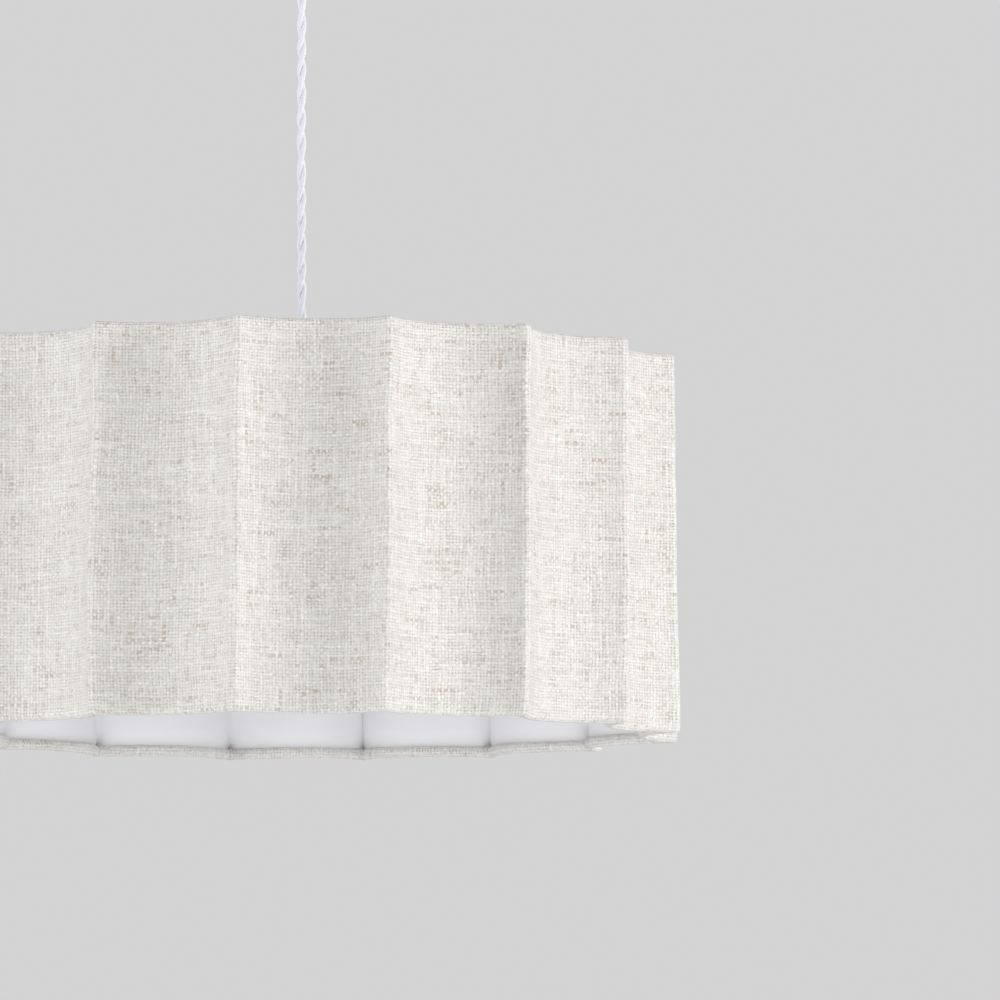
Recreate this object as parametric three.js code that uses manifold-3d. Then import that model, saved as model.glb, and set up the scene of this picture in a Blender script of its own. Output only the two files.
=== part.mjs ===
// A pendant lamp shade: a scalloped drum of linen over a white liner, on two wire rings.
// A four-armed wire fitter hangs it on a screw lampholder, which hangs on a twisted flex from a ceiling cup.
// Units are millimetres, +Z is up, and the origin is the centre of the face that lies on the ceiling.
import * as THREE from "three";
import { mergeVertices } from "three/addons/utils/BufferGeometryUtils.js";
import Module from "manifold-3d";

// ---- driving dimensions ----
const GAP = 0.3; // left between pieces that touch
const DROP = 504; // ceiling to the shade's lower edge
const SHADE_HEIGHT = 225;
const SCALLOPS = 16;
const CUSP_RADIUS_LOW = 226.5; // axis to the outer ridge between two scallops, at the lower edge
const CUSP_RADIUS_HIGH = 223.5; // the same at the upper edge
const DEPTH_LOW = 22; // how far a scallop's middle lies in from the line between its ridges
const DEPTH_HIGH = 19;
const ARC_STEPS = 6; // facets of one scallop
const WALL_STEPS = 3; // facets from one edge to the other
const LINEN = 1; // thickness of the cover
const LINER = 0.6;
const RING_WIRE = 3.5; // diameter of the two rings' wire
const ARM_WIRE = 3.2;
const ARMS = 4;
const RECESS = 28; // upper edge down to the fitter's hub
const HUB = { bore: 21, rim: 27.5, thick: 1.8 }; // radii
const THREAD_RADIUS = 19.8; // outside of the lampholder's shell
const WASHER = { radius: 26.5, thick: 1.2 };
const SHOULDER = { radius: 25, thick: 3 };
const HOLDER_LENGTH = 40; // from the shoulder down to the lampholder's mouth
const CAP = { radius: 23, height: 33, wall: 2.2, neck: 7 };
const GLAND = { radius: 7.5, height: 9.5 };
const FLEX_RADIUS = 2.8; // two twisted cores
const CUP = { radius: 50, height: 51.5, wall: 1.5, corner: 10, mouth: 7.2 };
const BALL = { radius: 8.8, flat: 6.5 }; // the flats are cut this far from its centre
const BASE = { radius: 47.5, thick: 3, cableHole: 7, cableReach: 15, screwHole: 2.6, screwReach: 33 };
const LUG = { width: 14, depth: 8, height: 12 };
const SIDE_SCREW = { radius: 2, head: 4, headLength: 3, length: 9, down: 10 };
const BLOCK = { x: 18, y: 12, z: 13 }; // terminal block

// ---- heights that follow ----
const SHADE_LOW = -DROP;
const SHADE_HIGH = SHADE_LOW + SHADE_HEIGHT;
const HUB_TOP = SHADE_HIGH - RECESS;
const HUB_LOW = HUB_TOP - HUB.thick;
const WASHER_LOW = HUB_LOW - GAP - WASHER.thick;
const SHOULDER_LOW = HUB_TOP + GAP;
const SHOULDER_TOP = SHOULDER_LOW + SHOULDER.thick;
const MOUTH = SHOULDER_LOW - HOLDER_LENGTH;
const CAP_LOW = SHOULDER_TOP + GAP;
const CAP_TOP = CAP_LOW + CAP.height;
const CUP_LOW = -(CUP.height + GAP);
const RIM = RING_WIRE / 2 + GAP + LINEN; // from the shade's edge or outer face in to the ring's middle
const BALL_LIFT = Math.sqrt((BALL.radius + GAP) ** 2 - CUP.mouth ** 2);
const PIVOT = CUP_LOW + CUP.wall + BALL_LIFT; // centre of the swivel ball, where the pendant swings
const FLEX_TOP = PIVOT + 16;
const FLEX_END = SHOULDER_TOP + 8;

const wasm = await Module();
wasm.setup();

// ---- solids ----
// A geometry as a manifold-3d solid, with only its positions kept.
function solid(geometry) {
  const bare = geometry.clone();
  bare.deleteAttribute("normal");
  bare.deleteAttribute("uv");
  const merged = mergeVertices(bare, 1e-4);
  const vertProperties = merged.attributes.position.array;
  const triVerts = new Uint32Array(merged.index.array);
  return new wasm.Manifold(new wasm.Mesh({ numProp: 3, vertProperties, triVerts }));
}

function geometryOf(manifold) {
  const mesh = manifold.getMesh();
  const geometry = new THREE.BufferGeometry();
  geometry.setAttribute("position", new THREE.BufferAttribute(mesh.vertProperties, 3));
  geometry.setIndex(new THREE.BufferAttribute(mesh.triVerts, 1));
  return geometry;
}

// The first geometry with the others cut out of it.
function cut(geometry, ...tools) {
  return geometryOf(tools.reduce((left, tool) => left.subtract(solid(tool)), solid(geometry)));
}

function join(...geometries) {
  return geometryOf(geometries.map(solid).reduce((sum, next) => sum.add(next)));
}

// A closed outline of [radius, height] pairs, or points, turned about Z.
function turned(outline, sides = 24) {
  const points = outline.map((p) => (p.isVector2 ? p : new THREE.Vector2(...p)));
  const first = points[0];
  const onAxis = first.x === 0 && points[points.length - 1].x === 0;
  if (!onAxis) points.push(first.clone());
  if (THREE.ShapeUtils.isClockWise(points)) points.reverse();
  return new THREE.LatheGeometry(points, sides).rotateX(Math.PI / 2);
}

// Points of an arc in an outline: centre, radius, and angles in degrees from the outward direction.
function arc(r, z, radius, from, to, steps = 4) {
  const rad = THREE.MathUtils.degToRad;
  return new THREE.EllipseCurve(r, z, radius, radius, rad(from), rad(to), to < from).getPoints(steps);
}

// A rod with its axis on Z, or turned to lie along X.
function rod(radius, length, sides = 16) {
  return new THREE.CylinderGeometry(radius, radius, length, sides).rotateX(Math.PI / 2);
}

function rodAlongX(radius, length, sides = 16) {
  return new THREE.CylinderGeometry(radius, radius, length, sides).rotateZ(Math.PI / 2);
}

// A round wire or cord along a curve.
function tube(curve, radius, steps, sides = 8) {
  const round = new THREE.Shape(new THREE.EllipseCurve(0, 0, radius, radius).getPoints(sides).slice(0, -1));
  return new THREE.ExtrudeGeometry(round, { steps, extrudePath: curve, bevelEnabled: false });
}

// ---- the scalloped plan ----
// A point at a station round the shade, this far in from the outer face. Scallop 0 faces -Y.
function onScallop(station, inset, z) {
  const share = (z - SHADE_LOW) / SHADE_HEIGHT;
  const cusp = THREE.MathUtils.lerp(CUSP_RADIUS_LOW, CUSP_RADIUS_HIGH, share);
  const half = Math.PI / SCALLOPS;
  const depth = THREE.MathUtils.lerp(DEPTH_LOW, DEPTH_HIGH, share);
  const halfChord = cusp * Math.sin(half);
  const arcRadius = (halfChord ** 2 + depth ** 2) / (2 * depth);
  const arcCentre = cusp * Math.cos(half) - depth + arcRadius; // outside the shade
  const radius = arcRadius + inset;
  const sweep = Math.asin((arcCentre * Math.sin(half)) / radius) - half;
  const turn = THREE.MathUtils.lerp(-sweep, sweep, (station % ARC_STEPS) / ARC_STEPS);
  const middle = 2 * half * Math.floor(station / ARC_STEPS);
  const out = arcCentre - radius * Math.cos(turn);
  const along = radius * Math.sin(turn);
  return new THREE.Vector3(
    out * Math.sin(middle) + along * Math.cos(middle),
    along * Math.sin(middle) - out * Math.cos(middle),
    z,
  );
}

// A closed section of [inset, height] points carried once round the scalloped plan.
function scalloped(section) {
  const points = section.map((p) => (p.isVector2 ? p : new THREE.Vector2(...p)));
  if (!THREE.ShapeUtils.isClockWise(points)) points.reverse();
  const stations = SCALLOPS * ARC_STEPS;
  const sides = points.length;
  const positions = [];
  const index = [];
  for (let i = 0; i < stations; i += 1) {
    for (let j = 0; j < sides; j += 1) {
      positions.push(...onScallop(i, points[j].x, points[j].y).toArray());
      const here = i * sides + j;
      const up = i * sides + ((j + 1) % sides);
      const next = ((i + 1) % stations) * sides + j;
      const nextUp = ((i + 1) % stations) * sides + ((j + 1) % sides);
      index.push(here, next, nextUp, here, nextUp, up);
    }
  }
  const geometry = new THREE.BufferGeometry();
  geometry.setAttribute("position", new THREE.Float32BufferAttribute(positions, 3));
  geometry.setIndex(index);
  return geometry;
}

// ---- the shade ----
// The points of a straight wall between two heights, with both ends left out.
function wall(inset, from, to) {
  const heights = Array.from({ length: WALL_STEPS - 1 }, (_, i) => (i + 1) / WALL_STEPS);
  return heights.map((share) => [inset, THREE.MathUtils.lerp(from, to, share)]);
}

// The linen: a wall whose two edges turn in round the rings, slit where an arm meets the upper ring.
function linenCover() {
  const roll = 2 * RIM;
  const lip = LINEN + 2 * GAP + LINER; // the turned edge ends against the liner
  const edge = (z, up) => [
    [0, z],
    [roll, z],
    [roll, z + up * roll],
    [lip, z + up * roll],
    [lip, z + up * (roll - LINEN)],
    [roll - LINEN, z + up * (roll - LINEN)],
    [roll - LINEN, z + up * LINEN],
    [LINEN, z + up * LINEN],
  ];
  const cloth = scalloped([
    ...edge(SHADE_LOW, 1),
    ...wall(LINEN, SHADE_LOW + LINEN, SHADE_HIGH - LINEN),
    ...edge(SHADE_HIGH, -1).reverse(),
    ...wall(0, SHADE_HIGH, SHADE_LOW),
  ]);
  const slit = { depth: 10, side: ARM_WIRE + 4 * GAP, height: 14 };
  const slitX = armFoot() + ARM_WIRE / 2 + 2 * GAP - slit.depth / 2;
  const slitZ = SHADE_HIGH - LINEN - GAP - slit.height / 2;
  const slits = armTurns().map((turn) =>
    new THREE.BoxGeometry(slit.depth, slit.side, slit.height).translate(slitX, 0, slitZ).rotateZ(turn),
  );
  return cut(cloth, ...slits);
}

function liner() {
  const outer = LINEN + GAP;
  const low = SHADE_LOW + RIM + RING_WIRE / 2 + 2 * GAP;
  const high = SHADE_HIGH - RIM - RING_WIRE / 2 - 2 * GAP;
  return scalloped([
    [outer, low],
    [outer + LINER, low],
    ...wall(outer + LINER, low, high),
    [outer + LINER, high],
    [outer, high],
    ...wall(outer, high, low),
  ]);
}

function ring(z) {
  return scalloped(arc(RIM, z, RING_WIRE / 2, 0, 360, 6).slice(0, -1));
}

// ---- the fitter ----
function armTurns() {
  return Array.from({ length: ARMS }, (_, i) => (i * 2 * Math.PI) / ARMS);
}

// Axis to the upright end of an arm, which stands against the inside of the upper ring.
function armFoot() {
  const valley = CUSP_RADIUS_HIGH * Math.cos(Math.PI / SCALLOPS) - DEPTH_HIGH;
  return valley - RIM - RING_WIRE / 2 - GAP - ARM_WIRE / 2;
}

function fitterHub() {
  return turned([[HUB.bore, HUB_LOW], [HUB.rim, HUB_LOW], [HUB.rim, HUB_TOP], [HUB.bore, HUB_TOP]], 32);
}

// One arm: level from the hub, then bent up to the upper ring.
function fitterArm(turn) {
  const level = (HUB_LOW + HUB_TOP) / 2;
  const bend = 18;
  const foot = armFoot();
  const start = new THREE.Vector3(HUB.rim + GAP, 0, level);
  const bendStart = new THREE.Vector3(foot - bend, 0, level);
  const corner = new THREE.Vector3(foot, 0, level);
  const bendEnd = new THREE.Vector3(foot, 0, level + bend);
  const end = new THREE.Vector3(foot, 0, SHADE_HIGH - LINEN - 2 * GAP);
  const path = new THREE.CurvePath();
  path.add(new THREE.LineCurve3(start, bendStart));
  path.add(new THREE.QuadraticBezierCurve3(bendStart, corner, bendEnd));
  path.add(new THREE.LineCurve3(bendEnd, end));
  return tube(path, ARM_WIRE / 2, 20).rotateZ(turn);
}

// A thin washer that keeps the screwed ring from dragging the hub round.
function hubWasher() {
  const bore = THREAD_RADIUS + 2 * GAP;
  const top = WASHER_LOW + WASHER.thick;
  return turned([[bore, WASHER_LOW], [WASHER.radius, WASHER_LOW], [WASHER.radius, top], [bore, top]], 32);
}

// The screwed ring that clamps the fitter's hub up against the lampholder's shoulder.
function retainingRing() {
  const top = WASHER_LOW - GAP;
  const bore = THREAD_RADIUS + GAP;
  const flange = { radius: 26.8, thick: 2.2 };
  const collar = { radius: 23.6, height: 8 };
  return turned([
    [bore, top],
    [flange.radius, top],
    [flange.radius, top - flange.thick],
    [collar.radius, top - flange.thick],
    [collar.radius, top - collar.height],
    [bore, top - collar.height],
  ], 32);
}

// ---- the lampholder ----
const SHELL_BORE = THREAD_RADIUS - 2.2;
const CONTACT_FACE = SHOULDER_LOW - 19; // where the insert closes the socket
const SOCKET = { crest: 12.7, root: 13.3, sheet: 0.5, pitch: 3.6, turns: 5 };

function holderShell() {
  return turned([
    [SHELL_BORE, MOUTH],
    [THREAD_RADIUS, MOUTH],
    [THREAD_RADIUS, SHOULDER_LOW],
    [SHOULDER.radius, SHOULDER_LOW],
    [SHOULDER.radius, SHOULDER_TOP],
    [SHELL_BORE, SHOULDER_TOP],
  ]);
}

function holderInsert() {
  const skirt = SOCKET.root + SOCKET.sheet + GAP;
  const outer = SHELL_BORE - GAP;
  return turned([
    [0, CONTACT_FACE],
    [skirt, CONTACT_FACE],
    [skirt, MOUTH + 1],
    [outer, MOUTH + 1],
    [outer, SHOULDER_TOP - 0.5],
    [0, SHOULDER_TOP - 0.5],
  ]);
}

// The screwed metal sleeve that a lamp cap turns into, its thread as stacked waves.
function screwShell() {
  const top = CONTACT_FACE - GAP;
  const inner = [];
  for (let i = 0; i <= 2 * SOCKET.turns; i += 1) {
    inner.push(new THREE.Vector2(i % 2 ? SOCKET.crest : SOCKET.root, top - (i * SOCKET.pitch) / 2));
  }
  const outer = inner.map((p) => new THREE.Vector2(p.x + SOCKET.sheet, p.y)).reverse();
  return turned([...inner, ...outer]);
}

function centreContact() {
  return rod(3.5, 1.2).translate(0, 0, CONTACT_FACE - GAP - 0.6);
}

function holderCap() {
  const { radius, height, wall, neck } = CAP;
  const bore = FLEX_RADIUS + 2 * GAP;
  const straight = 10;
  const dome = (inset) =>
    new THREE.QuadraticBezierCurve(
      new THREE.Vector2(radius - inset, CAP_LOW + straight),
      new THREE.Vector2(radius - inset, CAP_TOP - 4 - inset),
      new THREE.Vector2(neck, CAP_TOP - inset),
    ).getPoints(5);
  return turned([
    [radius - wall, CAP_LOW],
    [radius, CAP_LOW],
    ...dome(0),
    [bore, CAP_LOW + height],
    [bore, CAP_TOP - wall],
    ...dome(wall).reverse(),
  ]);
}

function holderGland() {
  const low = CAP_TOP + GAP;
  const bore = FLEX_RADIUS + 2 * GAP;
  return turned([
    [bore, low],
    [GLAND.radius, low],
    [GLAND.radius, low + GLAND.height - 3],
    [FLEX_RADIUS + 2, low + GLAND.height],
    [bore, low + GLAND.height],
  ], 16);
}

// ---- the suspension ----
// The flex as one plain round cord, hanging straight from the terminal block to the lampholder.
function flex() {
  const line = new THREE.LineCurve3(new THREE.Vector3(0, 0, FLEX_END), new THREE.Vector3(0, 0, FLEX_TOP));
  return tube(line, FLEX_RADIUS, 18, 10);
}

// A ball with flats and an hourglass bore, in which the flex can lean.
function swivelBall() {
  const edge = THREE.MathUtils.radToDeg(Math.asin(BALL.flat / BALL.radius));
  const throat = FLEX_RADIUS + GAP;
  const flare = BALL.flat * Math.tan(THREE.MathUtils.degToRad(15));
  return turned([
    [throat, PIVOT],
    [throat + flare, PIVOT - BALL.flat],
    ...arc(0, PIVOT, BALL.radius, -edge, edge, 6),
    [throat + flare, PIVOT + BALL.flat],
  ]);
}

// A collar that grips the flex and rides on the ball.
const CLAMP = { radius: 8, top: 15, bevel: 1, screwRadius: 1.5, screwLength: 5, screwLevel: 11.4 };

function cordClamp() {
  const { radius, top, bevel, screwRadius, screwLevel } = CLAMP;
  const seat = BALL.radius + GAP;
  const bore = FLEX_RADIUS + GAP;
  const angle = (r) => THREE.MathUtils.radToDeg(Math.acos(r / seat));
  const collar = turned([
    ...arc(0, PIVOT, seat, angle(bore), angle(radius), 4),
    [radius, PIVOT + top - bevel],
    [radius - bevel, PIVOT + top],
    [bore, PIVOT + top],
  ]);
  const hole = rodAlongX(screwRadius + GAP, 2 * radius).translate(radius + 1, 0, PIVOT + screwLevel);
  return cut(collar, hole);
}

function clampScrew() {
  const { screwRadius, screwLength, screwLevel } = CLAMP;
  const x = FLEX_RADIUS + 2 * GAP + screwLength / 2;
  return rodAlongX(screwRadius, screwLength, 12).translate(x, 0, PIVOT + screwLevel);
}

const BLOCK_MIDDLE = FLEX_TOP + GAP + BLOCK.z / 2;
const BLOCK_SCREW = { radius: 1.8, length: 3, reach: 4, pocket: 4 };

function terminalBlock() {
  const pocket = (side) =>
    rod(BLOCK_SCREW.radius + GAP, 2 * BLOCK_SCREW.pocket, 12)
      .rotateX(Math.PI / 2)
      .translate(side * BLOCK_SCREW.reach, -BLOCK.y / 2, BLOCK_MIDDLE);
  const body = new THREE.BoxGeometry(BLOCK.x, BLOCK.y, BLOCK.z).translate(0, 0, BLOCK_MIDDLE);
  return cut(body, pocket(-1), pocket(1));
}

function terminalScrew(side) {
  const { radius, length, reach, pocket } = BLOCK_SCREW;
  const y = -BLOCK.y / 2 + pocket - GAP - length / 2;
  return rod(radius, length, 12).rotateX(Math.PI / 2).translate(side * reach, y, BLOCK_MIDDLE);
}

// ---- the ceiling cup ----
const SCREW_HEIGHT = -SIDE_SCREW.down;

function ceilingBase() {
  const plate = rod(BASE.radius, BASE.thick, 36).translate(0, 0, -BASE.thick / 2);
  const lugOut = BASE.radius - 1.5 - LUG.depth / 2;
  const lugZ = 1 - BASE.thick - LUG.height / 2;
  const { depth, width, height } = LUG;
  const lug = (side) => new THREE.BoxGeometry(depth, width, height).translate(side * lugOut, 0, lugZ);
  const holes = [-1, 1].map((side) => rod(BASE.screwHole, 20).translate(0, side * BASE.screwReach, 0));
  const bores = [-1, 1].map((side) =>
    rodAlongX(SIDE_SCREW.radius + GAP, 20).translate(side * lugOut, 0, SCREW_HEIGHT),
  );
  const cableHole = rod(BASE.cableHole, 20, 20).translate(0, BASE.cableReach, 0);
  return cut(join(plate, lug(-1), lug(1)), cableHole, ...holes, ...bores);
}

function ceilingCup() {
  const { radius, wall, corner, mouth } = CUP;
  const shell = turned([
    [radius - wall, -GAP],
    ...arc(radius - corner, CUP_LOW + corner, corner - wall, 0, -90, 4),
    [mouth, CUP_LOW + wall],
    [mouth, CUP_LOW],
    ...arc(radius - corner, CUP_LOW + corner, corner, -90, 0, 4),
    [radius, -GAP],
  ], 40);
  const bores = [-1, 1].map((side) =>
    rodAlongX(SIDE_SCREW.radius + GAP, 8).translate(side * radius, 0, SCREW_HEIGHT),
  );
  return cut(shell, ...bores);
}

function sideScrew(side) {
  const face = CUP.radius + GAP;
  const head = rodAlongX(SIDE_SCREW.head, SIDE_SCREW.headLength, 20).translate(
    side * (face + SIDE_SCREW.headLength / 2), 0, SCREW_HEIGHT,
  );
  const shank = rodAlongX(SIDE_SCREW.radius, SIDE_SCREW.length + 1, 12).translate(
    side * (face + 0.5 - SIDE_SCREW.length / 2), 0, SCREW_HEIGHT,
  );
  return join(head, shank);
}

// ---- materials ----
function finish(color, roughness, metalness = 0) {
  return new THREE.MeshStandardMaterial({ color, roughness, metalness });
}

const linen = finish(0xe6e1d8, 0.95);
const linerSheet = finish(0xe4e4ea, 0.6);
const whiteSteel = finish(0xf2f2f0, 0.45, 0.1);
const whitePlastic = finish(0xf1f1ee, 0.35);
const porcelain = finish(0xf4f3ef, 0.25);
const brass = finish(0xc9a227, 0.3, 1);
const nickel = finish(0xc9c9c6, 0.28, 1);
const flexCotton = finish(0xe9ebf2, 0.9);
const rubber = finish(0xeeeeee, 0.7);

// ---- assembly ----
const pendant = new THREE.Group();

function add(name, geometry, material) {
  const mesh = new THREE.Mesh(geometry, material);
  mesh.name = name;
  pendant.add(mesh);
}

add("linen_cover", linenCover(), linen);
add("liner", liner(), linerSheet);
add("top_ring", ring(SHADE_HIGH - RIM), whiteSteel);
add("bottom_ring", ring(SHADE_LOW + RIM), whiteSteel);
add("fitter_hub", fitterHub(), whiteSteel);
armTurns().forEach((turn, i) => add(`fitter_arm_${i + 1}`, fitterArm(turn), whiteSteel));
add("hub_washer", hubWasher(), whitePlastic);
add("retaining_ring", retainingRing(), whitePlastic);

add("holder_shell", holderShell(), whitePlastic);
add("holder_cap", holderCap(), whitePlastic);
add("holder_gland", holderGland(), whitePlastic);
add("holder_insert", holderInsert(), porcelain);
add("screw_shell", screwShell(), nickel);
add("centre_contact", centreContact(), brass);

add("flex", flex(), flexCotton);
add("swivel_ball", swivelBall(), rubber);
add("cord_clamp", cordClamp(), whitePlastic);
add("clamp_screw", clampScrew(), nickel);
add("terminal_block", terminalBlock(), whitePlastic);
add("terminal_screw_1", terminalScrew(-1), brass);
add("terminal_screw_2", terminalScrew(1), brass);

add("ceiling_base", ceilingBase(), whiteSteel);
add("ceiling_cup", ceilingCup(), whiteSteel);
add("cup_screw_1", sideScrew(-1), nickel);
add("cup_screw_2", sideScrew(1), nickel);

export default pendant;
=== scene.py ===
"""A scalloped linen drum shade with its fitter, lampholder, twisted flex and ceiling cup."""

import math

import bmesh
import bpy
from mathutils import Matrix, Vector


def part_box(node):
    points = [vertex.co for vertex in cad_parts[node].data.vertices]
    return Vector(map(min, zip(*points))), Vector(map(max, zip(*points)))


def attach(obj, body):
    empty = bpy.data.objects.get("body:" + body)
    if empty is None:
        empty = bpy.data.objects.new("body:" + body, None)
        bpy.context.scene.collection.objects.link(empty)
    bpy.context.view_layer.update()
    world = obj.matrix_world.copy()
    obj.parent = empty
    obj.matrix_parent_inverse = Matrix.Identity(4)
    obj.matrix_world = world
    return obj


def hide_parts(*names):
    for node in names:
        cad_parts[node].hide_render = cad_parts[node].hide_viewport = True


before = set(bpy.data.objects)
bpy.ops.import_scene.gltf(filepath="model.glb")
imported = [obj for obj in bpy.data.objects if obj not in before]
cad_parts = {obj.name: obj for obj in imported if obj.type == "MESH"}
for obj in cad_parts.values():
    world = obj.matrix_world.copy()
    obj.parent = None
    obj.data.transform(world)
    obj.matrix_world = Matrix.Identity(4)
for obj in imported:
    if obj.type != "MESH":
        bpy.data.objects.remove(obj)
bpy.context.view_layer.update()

MM = 0.001
SCALLOPS = 16
HALF = math.pi / SCALLOPS  # half the angle that one scallop spans

# ---- sizes read from the frame ----
EDGE_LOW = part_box("linen_cover")[0].z
EDGE_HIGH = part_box("linen_cover")[1].z
RIDGE_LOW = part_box("linen_cover")[1].x / math.cos(HALF) - 1.5 * MM
RIDGE_HIGH = RIDGE_LOW - 1.5 * MM
DEPTH_LOW = 20.5 * MM  # how far a scallop's middle lies in from the line between its ridges
DEPTH_HIGH = 19 * MM

# ---- how the lower edge strays from true ----
TWIST = -0.4  # degrees that it is turned against the upper edge
BULGE = dict(amount=7.8 * MM, at=96, reach=28)  # degrees round from the front; it leans out here
DRAWN = dict(amount=-0.9, at=191, reach=30)  # and here the ridges are drawn to one side, in degrees


# ---- camera ----
def place_camera():
    """Stands a little under the shade's lower edge and looks slightly up, with a long lens."""
    data = bpy.data.cameras.new("camera")
    data.lens = 267
    data.sensor_width = 36
    camera = bpy.data.objects.new("camera", data)
    bpy.context.scene.collection.objects.link(camera)
    turn = -0.0574
    aside, away, below, pitch = 0.1182, 4.393, 0.2959, 0.0991
    camera.location = Matrix.Rotation(turn, 3, "Z") @ Vector((aside, -away, 0))
    camera.location.z = EDGE_LOW - below
    camera.rotation_euler = (math.pi / 2 + pitch, 0, turn)
    bpy.context.scene.camera = camera


place_camera()


# ---- formulas in node trees ----
class Field:
    """A number in a node tree, so that a formula can be written as one."""

    def __init__(self, tree, socket):
        self.tree = tree
        self.socket = socket

    def math(self, operation, *others, clamp=False):
        node = self.tree.nodes.new("ShaderNodeMath")
        node.operation = operation
        node.use_clamp = clamp
        for socket, value in zip(node.inputs, (self, *others)):
            plug(self.tree, value, socket)
        return Field(self.tree, node.outputs[0])

    def __add__(self, other):
        return self.math("ADD", other)

    def __sub__(self, other):
        return self.math("SUBTRACT", other)

    def __rsub__(self, other):
        return self.math("MULTIPLY", -1).math("ADD", other)

    def __mul__(self, other):
        return self.math("MULTIPLY", other)

    def __truediv__(self, other):
        return self.math("DIVIDE", other)

    __radd__ = __add__
    __rmul__ = __mul__

    def sin(self):
        return self.math("SINE")

    def cos(self):
        return self.math("COSINE")

    def root(self):
        return self.math("SQRT")

    def floor(self):
        return self.math("FLOOR")

    def size(self):
        return self.math("ABSOLUTE")

    def sign(self):
        return self.math("SIGN")

    def most(self, other):
        return self.math("MAXIMUM", other)

    def above(self, other):
        return self.math("GREATER_THAN", other)

    def share(self):
        """The number held between 0 and 1."""
        return self.math("ADD", 0, clamp=True)

    def between(self, low, high):
        """0 below low, 1 above high, and even between."""
        return ((self - low) / (high - low)).share()


def plug(tree, value, socket):
    """Links a field or a socket, or sets a plain value."""
    if isinstance(value, Field):
        tree.links.new(value.socket, socket)
    elif isinstance(value, bpy.types.NodeSocket):
        tree.links.new(value, socket)
    else:
        socket.default_value = value


def blend(share, first, second):
    """first where share is 0, second where it is 1."""
    return first + (second - first) * share


def add_node(tree, kind, settings=None, **inputs):
    """A node with its settings, and its inputs set or linked by name, with _ for a space."""
    node = tree.nodes.new(kind)
    for key, value in (settings or {}).items():
        setattr(node, key, value)
    for key, value in inputs.items():
        plug(tree, value, node.inputs[key.replace("_", " ")])
    return node


def vector_of(tree, x, y, z):
    return add_node(tree, "ShaderNodeCombineXYZ", X=x, Y=y, Z=z).outputs[0]


def split(tree, socket):
    node = add_node(tree, "ShaderNodeSeparateXYZ", Vector=socket)
    return [Field(tree, output) for output in node.outputs]


def noise(tree, vector, scale, detail=2.0, roughness=0.5):
    node = add_node(
        tree, "ShaderNodeTexNoise", Vector=vector, Scale=scale, Detail=detail, Roughness=roughness
    )
    return Field(tree, node.outputs[0])


# ---- materials ----
def new_material(name, **settings):
    """A material whose shader has these plain settings; its tree and its shader."""
    material = bpy.data.materials.new(name)
    material.use_nodes = True
    tree = material.node_tree
    shader = tree.nodes["Principled BSDF"]
    for key, value in settings.items():
        shader.inputs[key.replace("_", " ")].default_value = value
    return material, tree, shader


def colour_between(tree, share, first, second):
    node = add_node(tree, "ShaderNodeMix", {"data_type": "RGBA"})
    plug(tree, share, node.inputs[0])
    plug(tree, first if not isinstance(first, tuple) else (*first, 1), node.inputs[6])
    plug(tree, second if not isinstance(second, tuple) else (*second, 1), node.inputs[7])
    return node.outputs[2]


def raise_surface(tree, shader, height, distance, strength=1.0):
    bump = add_node(tree, "ShaderNodeBump", Height=height, Distance=distance, Strength=strength)
    plug(tree, bump.outputs[0], shader.inputs["Normal"])


WARP_PITCH = 2.05 * MM
WEFT_PITCH = 1.78 * MM


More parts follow.
